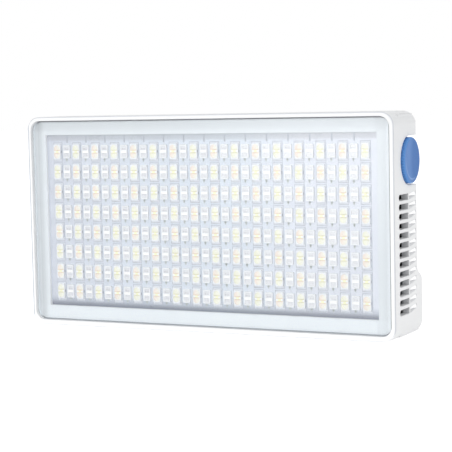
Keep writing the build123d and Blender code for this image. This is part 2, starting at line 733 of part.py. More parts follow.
save(panel_prism(DISPLAY_W + 1, DISPLAY_H + 1, 0.8, PANEL_BOARD_Y + PANEL_BOARD_T, INNER_BACK_UPPER_Y),
     "display_module")
save(panel_prism(DISPLAY_W - 0.2, DISPLAY_H - 0.2, 1.5, BACK_UPPER_Y - 0.9, BACK_UPPER_Y - 0.1),
     "display_window")
for key_name, key_x in zip(("mode_button", "select_button", "effect_button"), button_places()):
    save(build_panel_button(key_x), key_name)
save(build_switches(), "button_switches")
save(build_encoder_body(), "encoder_body")
save(cylinder_x(SHAFT_R, ENCODER_X[0] + 2.4, KNOB_FACE_X - KNOB_T + 2.6), "encoder_shaft")
save(build_knob(), "side_knob")
save(block((SIDE_BOARD_X, SIDE_BOARD_X + 1.2), (-4.0, 6.6), (50.5, 70.6)), "side_board")
save(block((ENCODER_X[0] - 1.2, ENCODER_X[0]), (KNOB_Y - 5.2, KNOB_Y + 5.2), (KNOB_Z - 8, KNOB_Z + 8)),
     "encoder_board")
save(build_power_switch(), "power_switch")
save(build_power_button(), "power_button")
save(build_usb_port(), "usb_c_port")
save(build_battery_cells(), "battery_cells")
save(build_battery_pads(), "battery_pads")
save(build_tripod_insert(), "tripod_insert")
save(build_case_screws(), "case_screws")
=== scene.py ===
"""Looks of a pocket LED panel light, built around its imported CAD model. Sizes are in metres."""

import math

import bmesh
import bpy
from mathutils import Matrix, Vector


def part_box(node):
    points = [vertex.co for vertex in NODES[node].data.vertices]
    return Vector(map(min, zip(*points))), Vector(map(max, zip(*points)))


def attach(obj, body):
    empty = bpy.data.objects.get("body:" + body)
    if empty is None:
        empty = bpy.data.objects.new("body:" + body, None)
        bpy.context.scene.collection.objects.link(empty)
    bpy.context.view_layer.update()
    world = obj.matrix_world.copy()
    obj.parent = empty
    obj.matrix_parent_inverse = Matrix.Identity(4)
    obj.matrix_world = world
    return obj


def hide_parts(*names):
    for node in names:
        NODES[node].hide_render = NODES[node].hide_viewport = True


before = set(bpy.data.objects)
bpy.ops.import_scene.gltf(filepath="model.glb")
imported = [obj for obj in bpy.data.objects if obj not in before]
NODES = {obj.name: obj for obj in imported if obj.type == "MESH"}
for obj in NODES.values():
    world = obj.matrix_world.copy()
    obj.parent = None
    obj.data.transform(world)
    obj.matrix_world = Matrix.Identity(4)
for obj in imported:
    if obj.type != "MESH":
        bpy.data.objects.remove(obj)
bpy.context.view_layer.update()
MM = 0.001


# ---------------------------------------------------------------- places read from the frame
def islands(node):
    """(lowest, highest) corner of each separate solid in a CAD node, from the top row down."""
    bm = bmesh.new()
    bm.from_mesh(NODES[node].data)
    bmesh.ops.remove_doubles(bm, verts=bm.verts, dist=0.001 * MM)
    boxes = []
    left = set(bm.verts)
    while left:
        stack = [left.pop()]
        points = []
        while stack:
            vert = stack.pop()
            points.append(vert.co.copy())
            for edge in vert.link_edges:
                other = edge.other_vert(vert)
                if other in left:
                    left.remove(other)
                    stack.append(other)
        lo = Vector(min(p[i] for p in points) for i in range(3))
        hi = Vector(max(p[i] for p in points) for i in range(3))
        boxes.append((lo, hi))
    bm.free()
    return sorted(boxes, key=lambda b: (-round(b[0].z, 5), b[0].x))


COVER_LO, COVER_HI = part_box("front_cover")
BEZEL_LO, BEZEL_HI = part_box("bezel_frame")
BOARD_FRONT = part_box("led_board")[0].y
CASING_LO, CASING_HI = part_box("casing")
PANEL_LO, PANEL_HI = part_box("rear_cover")
MIDDLE_Z = (COVER_LO.z + COVER_HI.z) / 2
WINDOW_X = min(abs(v.co.x) for v in NODES["bezel_frame"].data.vertices)
WINDOW_Z = min(abs(v.co.z - MIDDLE_Z) for v in NODES["bezel_frame"].data.vertices)

# where the side vents and the cut faces behind them lie on the casing
VENTS_Y = (-9 * MM, 1.2 * MM)
VENTS_Z = (5 * MM, 51.5 * MM)
CUTS_Y = (0.95 * MM, 7.55 * MM)

# how far inside the outer faces the painted shade of the dark inside keeps, and where it ends on the rear
# cover
SHADE_MARGIN = 2.5 * MM
SHADE_MARGIN_KNOB = 3.4 * MM
SHADE_BACK_Y = 7.65 * MM

# materials of the LED packages and the marks on their board, in the order that the pieces hold them
PACKAGE_BODY, PHOSPHOR_BED, BAND_MIDDLE, BAND_END, BAND_EDGE, METAL_TAB = range(6)
RGB_BODY, RGB_POOL, RGB_CHIP, RGB_BAR = range(4)
MARK_PAD, MARK_DOT, MARK_BORDER = range(3)
MARK_DEPTH = 0.03 * MM


# ---------------------------------------------------------------- shader helpers
def new_material(name):
    material = bpy.data.materials.new(name)
    material.use_nodes = True
    return material, material.node_tree, material.node_tree.nodes["Principled BSDF"]


def add(tree, kind, links=None, **values):
    """Add a node, set its properties or unlinked inputs, and link other sockets into it."""
    node = tree.nodes.new(kind)
    for key, value in values.items():
        if hasattr(node, key):
            setattr(node, key, value)
        else:
            node.inputs[key.replace("_", " ")].default_value = value
    for key, socket in (links or {}).items():
        tree.links.new(socket, node.inputs[key])
    return node


def object_place(tree):
    return add(tree, "ShaderNodeTexCoord").outputs["Object"]


def split(tree, vector):
    """The X, Y and Z sockets of a vector."""
    return add(tree, "ShaderNodeSeparateXYZ", {"Vector": vector}).outputs


def noise(tree, place, scale, detail=2.0):
    return add(tree, "ShaderNodeTexNoise", {"Vector": place}, Scale=scale, Detail=detail).outputs["Fac"]


def ramp(tree, factor, stops):
    """Colour ramp through (position, colour) stops."""
    node = add(tree, "ShaderNodeValToRGB", {"Fac": factor})
    elements = node.color_ramp.elements
    while len(elements) < len(stops):
        elements.new(0.5)
    for element, (position, colour) in zip(elements, stops):
        element.position = position
        element.color = (*colour, 1)
    return node.outputs["Color"]


def remap(tree, value, low, high, to_low, to_high, smooth=False):
    node = add(tree, "ShaderNodeMapRange", {"Value": value})
    node.interpolation_type = "SMOOTHSTEP" if smooth else "LINEAR"
    for key, number in zip(("From Min", "From Max", "To Min", "To Max"), (low, high, to_low, to_high)):
        node.inputs[key].default_value = number
    return node.outputs["Result"]


def maths(tree, operation, first, second):
    node = add(tree, "ShaderNodeMath", operation=operation)
    for socket, value in zip(node.inputs, (first, second)):
        if isinstance(value, (int, float)):
            socket.default_value = value
        else:
            tree.links.new(value, socket)
    return node.outputs[0]


def times(tree, *values):
    """Product of numbers and sockets."""
    product = values[0]
    for value in values[1:]:
        product = maths(tree, "MULTIPLY", product, value)
    return product


def between(tree, value, low, high):
    """1 where a value lies between two numbers, 0 elsewhere."""
    return times(tree, maths(tree, "GREATER_THAN", value, low), maths(tree, "LESS_THAN", value, high))


def mixed(tree, factor, first, second, blend="MIX"):
    """Mix of two colours, each a tuple or a socket."""
    node = add(tree, "ShaderNodeMix", data_type="RGBA", blend_type=blend)
    for socket, value in zip((node.inputs[0], node.inputs[6], node.inputs[7]), (factor, first, second)):
        if isinstance(value, (int, float)):
            socket.default_value = value
        elif isinstance(value, tuple):
            socket.default_value = (*value, 1)
        else:
            tree.links.new(value, socket)
    return node.outputs[2]


def shade(colour, factor):
    return tuple(min(1.0, c * factor) for c in colour)


def add_bump(tree, shader, height, distance):
    bump = add(tree, "ShaderNodeBump", {"Height": height}, Distance=distance)
    tree.links.new(bump.outputs["Normal"], shader.inputs["Normal"])


def surface(name, colour, rough, vary, grain, patch=110, bump=0.012, rough_vary=0.06, metallic=0.0,
            specular=0.5, stretch=None, painted_light=0.0):
    """Plain surface with a drifting colour, uneven roughness and a fine moulded or brushed grain."""
    material, tree, shader = new_material(name)
    place = object_place(tree)
    if stretch:
        place = add(tree, "ShaderNodeMapping", {"Vector": place}, Scale=stretch).outputs["Vector"]
    drift = noise(tree, place, patch, 3)
    fine = noise(tree, place, grain, 2)
    tones = ramp(tree, drift, [(0.3, shade(colour, 1 - vary)), (0.7, shade(colour, 1 + vary))])
    speckle = ramp(tree, fine, [(0.3, (0, 0, 0)), (0.7, (1, 1, 1))])
    tree.links.new(mixed(tree, 0.04, tones, speckle, "SOFT_LIGHT"), shader.inputs["Base Color"])
    tree.links.new(remap(tree, drift, 0.3, 0.7, rough - rough_vary, rough + rough_vary),
                   shader.inputs["Roughness"])
    shader.inputs["Metallic"].default_value = metallic
    shader.inputs["Specular IOR Level"].default_value = specular
    # painted light: emission in the surface's own colour, zero unless given
    shader.inputs["Emission Color"].default_value = (*colour, 1)
    shader.inputs["Emission Strength"].default_value = painted_light
    add_bump(tree, shader, fine, bump * MM)
    return material


# ---------------------------------------------------------------- materials
def rim_tones(tree, axes, normal, lean, tones):
    """Painted grey shade on the rounded edge of the front rim, darker where it faces left; also gives the
    painted light on its lower side.
    """
    front = maths(tree, "LESS_THAN", axes["Y"], COVER_LO.y)
    rounded = times(tree, remap(tree, lean, 0.10, 0.40, 0, 1, True),
                    remap(tree, lean, 0.80, 0.98, 1, 0, True), front)
    edge = times(tree, rounded, remap(tree, normal["Z"], -0.5, -0.15, 0.1, 0.9))
    left = remap(tree, normal["X"], -0.5, -0.15, 1, 0)
    tones = mixed(tree, edge, tones, mixed(tree, left, (0.62, 0.64, 0.68), (0.36, 0.37, 0.42)))
    # fine painted shade along the outer left and lower edges
    outer_left = remap(tree, axes["X"], CASING_LO.x + 0.4 * MM, CASING_LO.x + 0.9 * MM, 1, 0, True)
    outer_low = remap(tree, axes["Z"], 0.1 * MM, 0.5 * MM, 0.35, 0, True)
    brink = times(tree, maths(tree, "MAXIMUM", outer_left, outer_low), front)
    tones = mixed(tree, brink, tones, (0.50, 0.54, 0.60))
    # painted light: emission on the lower side of the rounded rim edge
    painted_light = times(tree, rounded, remap(tree, normal["Z"], -0.4, -0.15, 0.08, 0))
    return tones, painted_light


def vent_tones(tree, axes, normal, lean, tones):
    """Painted shade on the scoops and vent ends; also gives the painted light on the ramps above the scoops.
    """
    low_part = maths(tree, "LESS_THAN", axes["Z"], VENTS_Z[1])
    cuts = times(tree, between(tree, axes["Y"], *CUTS_Y), low_part)
    # painted shade on the upward faces of the scoops
    scoop_shade = times(tree, cuts, remap(tree, normal["Z"], 0.25, 0.5, 0, 0.55))
    tones = mixed(tree, scoop_shade, tones, (0.70, 0.71, 0.73))
    # painted shade on the ends of the vents
    vents = times(tree, between(tree, axes["Y"], *VENTS_Y), between(tree, axes["Z"], *VENTS_Z))
    tones = mixed(tree, times(tree, vents, remap(tree, lean, 0.5, 0.8, 0, 0.6)), tones, (0.42, 0.43, 0.45))
    # painted light: emission on the ramps above the scoops
    ramp_face = times(tree, remap(tree, lean, 0.05, 0.09, 0, 1), remap(tree, lean, 0.3, 0.4, 1, 0))
    sideways = maths(tree, "GREATER_THAN", maths(tree, "ABSOLUTE", normal["X"], 0), 0.85)
    return tones, times(tree, cuts, ramp_face, sideways, 0.26)


def white_plastic(name, painted):
    """White moulded plastic, near-black inside the box between painted's corners as painted shade for the
    dark inside, with painted shade and light on the front rim and vents.
    """
    material, tree, shader = new_material(name)
    place = object_place(tree)
    axes = split(tree, place)
    normal = split(tree, add(tree, "ShaderNodeNewGeometry").outputs["True Normal"])
    lean = maths(tree, "MULTIPLY", normal["Y"], -1)
    drift = noise(tree, place, 110, 3)
    fine = noise(tree, place, 3200, 2)
    tones = ramp(tree, drift, [(0.3, (0.905, 0.912, 0.920)), (0.7, (0.918, 0.925, 0.932))])
    # painted shade: a little lighter low down and darker towards the top of the casing
    upward = ramp(tree, remap(tree, axes["Z"], 0, 80 * MM, 0, 1), [
        (0.25, (1.02, 1.02, 1.02)), (0.7, (1, 1, 1)), (0.95, (0.95, 0.955, 0.96))])
    tones = mixed(tree, 1.0, tones, upward, "MULTIPLY")
    tones, low_painted_light = rim_tones(tree, axes, normal, lean, tones)
    tones, ramp_painted_light = vent_tones(tree, axes, normal, lean, tones)
    # painted shade: the inner faces are near-black, so that the inside looks dark through the vents
    inside = times(tree, *(between(tree, axes[key], low, high) for key, low, high in zip("XYZ", *painted)))
    inside_shade = ramp(tree, fine, [(0.3, (0.028, 0.028, 0.030)), (0.7, (0.045, 0.045, 0.048))])
    tree.links.new(mixed(tree, inside, tones, inside_shade), shader.inputs["Base Color"])
    shader.inputs["Emission Color"].default_value = (1, 1, 1, 1)
    tree.links.new(maths(tree, "ADD", ramp_painted_light, low_painted_light), shader.inputs["Emission Strength"])
    tree.links.new(remap(tree, drift, 0.3, 0.7, 0.40, 0.50), shader.inputs["Roughness"])
    shader.inputs["Specular IOR Level"].default_value = 0.45
    soft = add(tree, "ShaderNodeBevel", samples=6, Radius=0.5 * MM)
    bump = add(tree, "ShaderNodeBump", {"Height": fine, "Normal": soft.outputs["Normal"]},
               Distance=0.006 * MM)
    tree.links.new(bump.outputs["Normal"], shader.inputs["Normal"])
    return material


def knob_blue():
    """Saturated blue plastic: ribbed paler rim with painted shade in the rib grooves, a face with painted
    shade growing backwards, a painted highlight arc.
    """
    material, tree, shader = new_material("knob blue")
    place = object_place(tree)
    axes = split(tree, place)
    lo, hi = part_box("side_knob")
    centre = (lo + hi) / 2
    radius = (hi.z - lo.z) / 2
    rib_count = 52
    along = maths(tree, "SUBTRACT", axes["Y"], centre.y)
    upward = maths(tree, "SUBTRACT", axes["Z"], centre.z)
    squares = maths(tree, "ADD", times(tree, along, along), times(tree, upward, upward))
    reach = maths(tree, "SQRT", squares, 0)
    drift = noise(tree, place, 260, 3)
    fine = noise(tree, place, 3600, 2)
    tones = ramp(tree, drift, [(0.3, (0.088, 0.232, 0.590)), (0.7, (0.095, 0.246, 0.615))])
    # painted shade: the face darker towards the back
    backward_shade = ramp(tree, remap(tree, along, -0.8 * radius, 0.8 * radius, 0, 1), [
        (0.0, (0.96, 1.0, 1.0)), (0.35, (0.94, 1.0, 1.0)), (0.6, (0.42, 0.72, 0.83)),
        (1.0, (0.36, 0.66, 0.80))])
    tones = mixed(tree, 1.0, tones, backward_shade, "MULTIPLY")
    # ribs round the rim, as painted shade in their grooves, and a paler rim
    turn = maths(tree, "ARCTAN2", upward, along)
    ribs = remap(tree, maths(tree, "SINE", times(tree, turn, rib_count), 0), -1, 1, 0.0, 0.5)
    rim = remap(tree, reach, 0.93 * radius, 0.96 * radius, 0, 1)
    tones = mixed(tree, times(tree, rim, ribs), tones, (0.045, 0.130, 0.380))
    tones = mixed(tree, times(tree, rim, 0.55), tones, (0.14, 0.37, 0.80))
    # narrow painted highlight arc inside the lower front edge of the face
    arc = times(tree, remap(tree, reach, 0.76 * radius, 0.80 * radius, 0, 1, True),
                remap(tree, reach, 0.82 * radius, 0.86 * radius, 1, 0, True))
    corner = maths(tree, "ADD", times(tree, along, 0.75), upward)
    lower = remap(tree, corner, -0.9 * radius, -0.35 * radius, 0.55, 0, True)
    tones = mixed(tree, times(tree, arc, lower), tones, (0.32, 0.52, 0.86))
    tree.links.new(tones, shader.inputs["Base Color"])
    tree.links.new(remap(tree, drift, 0.3, 0.7, 0.34, 0.44), shader.inputs["Roughness"])
    shader.inputs["Specular IOR Level"].default_value = 0.25
    add_bump(tree, shader, fine, 0.006 * MM)
    return material


def clear_plate():
    """Clear cover: see-through, with a soft reflection that grows towards grazing angles."""
    material, tree, shader = new_material("clear cover")
    tree.nodes.remove(shader)
    place = object_place(tree)
    smear = noise(tree, place, 45, 4)
    rough = remap(tree, smear, 0.35, 0.7, 0.16, 0.24)
    tint = ramp(tree, smear, [(0.3, (0.988, 0.992, 0.996)), (0.7, (0.992, 0.996, 0.999))])
    through = add(tree, "ShaderNodeBsdfTransparent", {"Color": tint})
    gloss = add(tree, "ShaderNodeBsdfGlossy", {"Roughness": rough})
    facing = add(tree, "ShaderNodeFresnel", IOR=1.49)
    coated = times(tree, facing.outputs[0], 0.6)
    mix = add(tree, "ShaderNodeMixShader", {"Fac": coated, 1: through.outputs[0], 2: gloss.outputs[0]})
    tree.links.new(mix.outputs[0], tree.nodes["Material Output"].inputs["Surface"])
    return material


def painted_side_tone(tree, distance, stops):
    """Painted shade and light along one side of the frame, through (millimetres from the outer edge, tone)
    stops.
    """
    width = 6
    reach = remap(tree, distance, 0, width * MM, 0, 1)
    return ramp(tree, reach, [(far / width, (tone, tone, tone)) for far, tone in stops])


def surround_pale():
    """Pale blue-grey frame under the cover, with a run of painted shade and light along each side."""
    material, tree, shader = new_material("window surround")
    place = object_place(tree)
    axes = split(tree, place)
    drift = noise(tree, place, 160, 3)
    colour = ramp(tree, drift, [(0.3, (0.905, 0.950, 0.980)), (0.7, (0.915, 0.960, 0.990))])
    left = maths(tree, "ADD", axes["X"], COVER_HI.x)
    right = maths(tree, "SUBTRACT", COVER_HI.x, axes["X"])
    top = maths(tree, "SUBTRACT", COVER_HI.z, axes["Z"])
    bottom = maths(tree, "SUBTRACT", axes["Z"], COVER_LO.z)
    sides = (
        (left, [(0, 0.86), (0.9, 0.80), (1.3, 0.84), (1.7, 0.77), (2.3, 0.82), (3.0, 0.86), (3.8, 0.96),
                (4.9, 1.02)]),
        (right, [(0, 0.25), (0.55, 0.32), (0.75, 1.0), (2.0, 0.86), (3.1, 0.88), (4.0, 0.90), (5.2, 0.88),
                 (6.0, 0.95)]),
        (top, [(0, 0.90), (1.2, 0.865), (2.8, 0.89), (4.4, 0.98), (5.6, 1.0)]),
        (bottom, [(0, 1.0), (0.8, 1.04), (4.4, 1.04), (5.6, 1.0)]),
    )
    for distance, stops in sides:
        colour = mixed(tree, 1.0, colour, painted_side_tone(tree, distance, stops), "MULTIPLY")
    tree.links.new(colour, shader.inputs["Base Color"])
    # painted light: emission in the frame's own colour
    tree.links.new(colour, shader.inputs["Emission Color"])
    shader.inputs["Emission Strength"].default_value = 0.05
    tree.links.new(remap(tree, drift, 0.3, 0.7, 0.4, 0.5), shader.inputs["Roughness"])
    add_bump(tree, shader, noise(tree, place, 2500), 0.004 * MM)
    return material


def solder_mask(name, colour, fibre, painted_shades=None):
    """Circuit-board lacquer with the faint square weave of the glass cloth beneath it.

    The optional last argument, where given, makes painted shade from the tree and its axes, which is laid
    over the lacquer.
    """
    material, tree, shader = new_material(name)
    place = object_place(tree)
    axes = split(tree, place)
    threads = 9000.0
    warp = maths(tree, "SINE", times(tree, axes["X"], threads), 0)
    weft = maths(tree, "SINE", times(tree, axes["Z"], threads), 0)
    weave = remap(tree, times(tree, warp, weft), -1, 1, 0, 1)
    drift = noise(tree, place, 140, 4)
    base = ramp(tree, drift, [(0.3, shade(colour, 0.975)), (0.7, shade(colour, 1.02))])
    tones = mixed(tree, times(tree, weave, fibre), base, shade(colour, 1.12))
    # painted shade laid over the lacquer
    if painted_shades:
        for shade_layer in painted_shades(tree, axes):
            tones = mixed(tree, 1.0, tones, shade_layer, "MULTIPLY")
    tree.links.new(tones, shader.inputs["Base Color"])
    tree.links.new(remap(tree, drift, 0.3, 0.7, 0.26, 0.36), shader.inputs["Roughness"])
    add_bump(tree, shader, weave, 0.003 * MM)
    return material


def window_painted_shade(tree, axes):
    """Painted shadow on the LED board at the foot and head of the window, and painted shade towards its left
    side.
    """
    foot = MIDDLE_Z - WINDOW_Z
    head = MIDDLE_Z + WINDOW_Z
    spread = 4 * MM
    return (
        ramp(tree, remap(tree, axes["Z"], foot, foot + spread, 0, 1),
             [(0, (0.32, 0.33, 0.36)), (0.2, (0.43, 0.44, 0.47)), (0.5, (0.74, 0.75, 0.77)),
              (1, (1, 1, 1))]),
        ramp(tree, remap(tree, axes["Z"], head, head - spread, 0, 1),
             [(0, (0.74, 0.73, 0.72)), (0.4, (0.82, 0.81, 0.80)), (0.65, (1, 1, 1))]),
        ramp(tree, remap(tree, axes["X"], -WINDOW_X, 0.6 * WINDOW_X, 0, 1),
             [(0, (0.88, 0.885, 0.90)), (0.3, (0.94, 0.965, 0.975)), (0.75, (0.95, 0.985, 0.99)),
              (1, (1, 1, 1))]),
    )


def phosphor(name, left, right, depth):
    """LED phosphor: one tint fades into another across each package, deeper next to its bright band."""
    material, tree, shader = new_material(name)
    place = add(tree, "ShaderNodeUVMap", uv_map="cell").outputs["UV"]
    axes = split(tree, place)
    grains = noise(tree, object_place(tree), 5200, 3)
    across = maths(tree, "ADD", axes["X"], remap(tree, grains, 0.3, 0.7, -0.08, 0.08))
    tint = ramp(tree, across, [(0.25, left), (0.75, right)])
    from_middle = maths(tree, "ABSOLUTE", maths(tree, "SUBTRACT", axes["Y"], 0.5), 0)
    tones = mixed(tree, remap(tree, from_middle, 0.10, 0.32, 0.35, 0.0, True), tint, depth)
    tree.links.new(tones, shader.inputs["Base Color"])
    # painted light: emission in the phosphor's own tints
    tree.links.new(tones, shader.inputs["Emission Color"])
    shader.inputs["Emission Strength"].default_value = 0.06
    tree.links.new(remap(tree, grains, 0.3, 0.7, 0.36, 0.5), shader.inputs["Roughness"])
    add_bump(tree, shader, grains, 0.01 * MM)
    return material


def seal_rubber():
    """Grey seal, with painted light making it paler and brighter along the left and lower sides of the cover.
    """
    material, tree, shader = new_material("seal rubber")
    place = object_place(tree)
    axes = split(tree, place)
    fine = noise(tree, place, 4200, 2)
    # painted light: paler towards the left side
    left = remap(tree, axes["X"], COVER_LO.x + 0.2 * MM, COVER_LO.x + 2.5 * MM, 1, 0, True)
    dark = ramp(tree, fine, [(0.3, (0.24, 0.245, 0.27)), (0.7, (0.30, 0.305, 0.33))])
    tree.links.new(mixed(tree, left, dark, (0.90, 0.93, 0.95)), shader.inputs["Base Color"])
    # painted light: emission along the left and lower sides
    low = remap(tree, axes["Z"], COVER_LO.z - 0.1 * MM, COVER_LO.z + 0.6 * MM, 1, 0, True)
    shader.inputs["Emission Color"].default_value = (0.74, 0.82, 0.90, 1)
    painted_light = maths(tree, "MAXIMUM", times(tree, left, 0.21), times(tree, low, 0.20))
    tree.links.new(painted_light, shader.inputs["Emission Strength"])
    tree.links.new(remap(tree, fine, 0.3, 0.7, 0.55, 0.7), shader.inputs["Roughness"])
    add_bump(tree, shader, fine, 0.01 * MM)
    return material


def brushed(name, colour, rough, stretch):
    return surface(name, colour, rough, vary=0.05, patch=260, grain=1800, bump=0.004, rough_vary=0.08,
                   metallic=1.0, stretch=stretch)


def rgb_resin(name, left, right):
    """Clear resin over the RGB chips, with painted light making it paler towards the knob side of the light.
    """
    material, tree, shader = new_material(name)
    place = object_place(tree)
    axes = split(tree, place)
    grains = noise(tree, place, 1500, 3)
    # painted light: paler towards the knob side
    painted_haze = maths(tree, "ADD", remap(tree, axes["X"], -WINDOW_X, WINDOW_X, 0, 1),
                  remap(tree, grains, 0.3, 0.7, -0.12, 0.12))
    tree.links.new(ramp(tree, painted_haze, [(0.1, left), (0.9, right)]), shader.inputs["Base Color"])
    tree.links.new(remap(tree, grains, 0.3, 0.7, 0.16, 0.24), shader.inputs["Roughness"])
    add_bump(tree, shader, grains, 0.01 * MM)
    return material


def dark_glass():
    """Display window: near-black, glossy, with faint wipe marks in the gloss."""
    material, tree, shader = new_material("display glass")
    place = object_place(tree)
    wipe = noise(tree, place, 120, 5)
    tree.links.new(ramp(tree, wipe, [(0.3, (0.010, 0.011, 0.013)), (0.7, (0.016, 0.018, 0.021))]),
                   shader.inputs["Base Color"])
    tree.links.new(remap(tree, wipe, 0.35, 0.7, 0.05, 0.16), shader.inputs["Roughness"])
    shader.inputs["Coat Weight"].default_value = 0.5
    return material


CASING_WHITE = white_plastic("casing white", (
    (CASING_LO.x + SHADE_MARGIN, BOARD_FRONT, CASING_LO.z + SHADE_MARGIN),
    (CASING_HI.x - SHADE_MARGIN_KNOB, CASING_HI.y, CASING_HI.z - SHADE_MARGIN)))
COVER_WHITE = white_plastic("rear cover white", (
    (PANEL_LO.x - MM, PANEL_LO.y - MM, PANEL_LO.z - MM),
    (PANEL_HI.x + MM, SHADE_BACK_Y, PANEL_HI.z + MM)))
BLUE = knob_blue()
CLEAR = clear_plate()
SURROUND = surround_pale()
LED_BOARD = solder_mask("led board lacquer", (0.850, 0.880, 0.950), 0.10, window_painted_shade)
GREEN = solder_mask("board green", (0.035, 0.17, 0.075), 0.35)
# painted light: emission on the white LED bodies
PACKAGE = surface("led package white", (0.93, 0.94, 0.96), 0.34, vary=0.01, grain=5000, bump=0.003, painted_light=0.07)
WARM = phosphor("warm phosphor", (0.96, 0.87, 0.79), (0.98, 0.97, 0.88), (0.95, 0.85, 0.73))
COOL = phosphor("cool phosphor", (0.955, 0.955, 0.80), (0.975, 0.975, 0.89), (0.93, 0.925, 0.74))
WARM_LINE = surface("warm band edge", (0.94, 0.83, 0.69), 0.4, vary=0.05, patch=900, grain=5000)
COOL_LINE = surface("cool band edge", (0.89, 0.87, 0.68), 0.4, vary=0.05, patch=900, grain=5000)
# painted light: emission on the phosphor band and its white ends, whose material also covers the bar between
# the RGB pools
LIT_YELLOW = surface("bright phosphor band", (0.98, 0.98, 0.70), 0.35, vary=0.02, patch=900, grain=5000,
                     painted_light=0.12)
LIT_WHITE = surface("bright band ends", (0.99, 0.99, 0.98), 0.3, vary=0.01, patch=900, grain=5000, painted_light=0.18)
POOL = rgb_resin("rgb pool resin", (0.87, 0.88, 0.91), (0.92, 0.93, 0.95))
CHIP = rgb_resin("rgb chip", (0.68, 0.67, 0.69), (0.82, 0.82, 0.84))
SOLDER = surface("tinned pad", (0.60, 0.62, 0.66), 0.35, vary=0.06, patch=1200, grain=5000, metallic=0.35)
SINK_BLACK = surface("black anodised aluminium", (0.020, 0.020, 0.022), 0.55, vary=0.15, patch=260,
                     grain=1800, stretch=(0.4, 1, 6))
BLACK = surface("black plastic", (0.022, 0.022, 0.024), 0.45, vary=0.15, grain=3000, bump=0.008)
STEEL = brushed("steel", (0.60, 0.61, 0.62), 0.30, (1, 6, 1))
DARK_STEEL = brushed("blackened steel", (0.16, 0.16, 0.17), 0.36, (1, 6, 1))
BRASS = brushed("brass", (0.72, 0.53, 0.24), 0.28, (1, 1, 8))
RUBBER = seal_rubber()
PAD = surface("thermal silicone", (0.30, 0.34, 0.38), 0.7, vary=0.08, grain=2800, bump=0.02)
FOAM = surface("foam", (0.12, 0.12, 0.125), 0.9, vary=0.2, patch=900, grain=2400, bump=0.06)
FILM = surface("battery film", (0.32, 0.40, 0.52), 0.28, vary=0.08, patch=60, grain=900, bump=0.02)
KEY = surface("key grey", (0.56, 0.58, 0.61), 0.48, vary=0.02, grain=3600, bump=0.006)
GLASS = dark_glass()


# ---------------------------------------------------------------- mesh helpers
def rounded_loop(half_x, half_z, radius, steps=6):
    """Points of a rounded rectangle, counter-clockwise seen from the front (-Y)."""
    points = []
    for k, (sx, sz) in enumerate(((1, 1), (-1, 1), (-1, -1), (1, -1))):
        for step in range(steps + 1):
            angle = math.pi / 2 * (k + step / steps)
            points.append((sx * (half_x - radius) + radius * math.cos(angle),
                           sz * (half_z - radius) + radius * math.sin(angle)))
    return points


def ring_verts(bm, centre, loop, y):
    return [bm.verts.new((centre[0] + x, y, centre[1] + z)) for x, z in loop]


def bridge(bm, first, second, material):
    """Quads between two closed vertex rings; the first ring lies further out or back."""
    count = len(first)
    for i in range(count):
        j = (i + 1) % count
        bm.faces.new((first[i], first[j], second[j], second[i])).material_index = material


def cap(bm, ring, material):
    bm.faces.new(ring).material_index = material


def slab(bm, x, y, z, material):
    """Box between pairs of limits."""
    v = [[[bm.verts.new((x[i], y[j], z[k])) for k in (0, 1)] for j in (0, 1)] for i in (0, 1)]
    quads = (
        (v[0][0][0], v[1][0][0], v[1][0][1], v[0][0][1]),
        (v[1][1][0], v[0][1][0], v[0][1][1], v[1][1][1]),
        (v[0][1][0], v[0][0][0], v[0][0][1], v[0][1][1]),
        (v[1][0][0], v[1][1][0], v[1][1][1], v[1][0][1]),
        (v[0][0][1], v[1][0][1], v[1][1][1], v[0][1][1]),
        (v[0][1][0], v[1][1][0], v[1][0][0], v[0][0][0]),
    )
    for quad in quads:
        bm.faces.new(quad).material_index = material


def piece(name, bm, materials, replaces=(), body="housing"):
    """Turn a bmesh into a piece of the light that rides on one body."""
    mesh = bpy.data.meshes.new(name)
    bmesh.ops.recalc_face_normals(bm, faces=bm.faces)
    bm.to_mesh(mesh)
    bm.free()
    for material in materials:
        mesh.materials.append(material)
    made = bpy.data.objects.new(name, mesh)
    bpy.context.scene.collection.objects.link(made)
    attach(made, body)
    if replaces:
        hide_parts(*replaces)
    return made


# ---------------------------------------------------------------- LED packages
def package_body(bm, centre, rings, materials):
    """Body of an LED through (half width, half height, corner, depth) rings, closed at the last ring.

    materials holds one entry for each band between two rings, and one for the closing face.
    """
    verts = [ring_verts(bm, centre, rounded_loop(a, b, r), y) for a, b, r, y in rings]
    for first, second, material in zip(verts, verts[1:], materials):
        bridge(bm, first, second, material)
    cap(bm, verts[-1], materials[-1])


def outer_rings(lo, hi):
    """The three rings of a package's outside, from the board to its chamfered front edge."""
    half_x = (hi.x - lo.x) / 2
    half_z = (hi.z - lo.z) / 2
    chamfer = 0.06 * MM
    return [
        (half_x, half_z, 0.25 * MM, hi.y),
        (half_x, half_z, 0.25 * MM, lo.y + chamfer),
        (half_x - chamfer, half_z - chamfer, 0.20 * MM, lo.y),
    ]


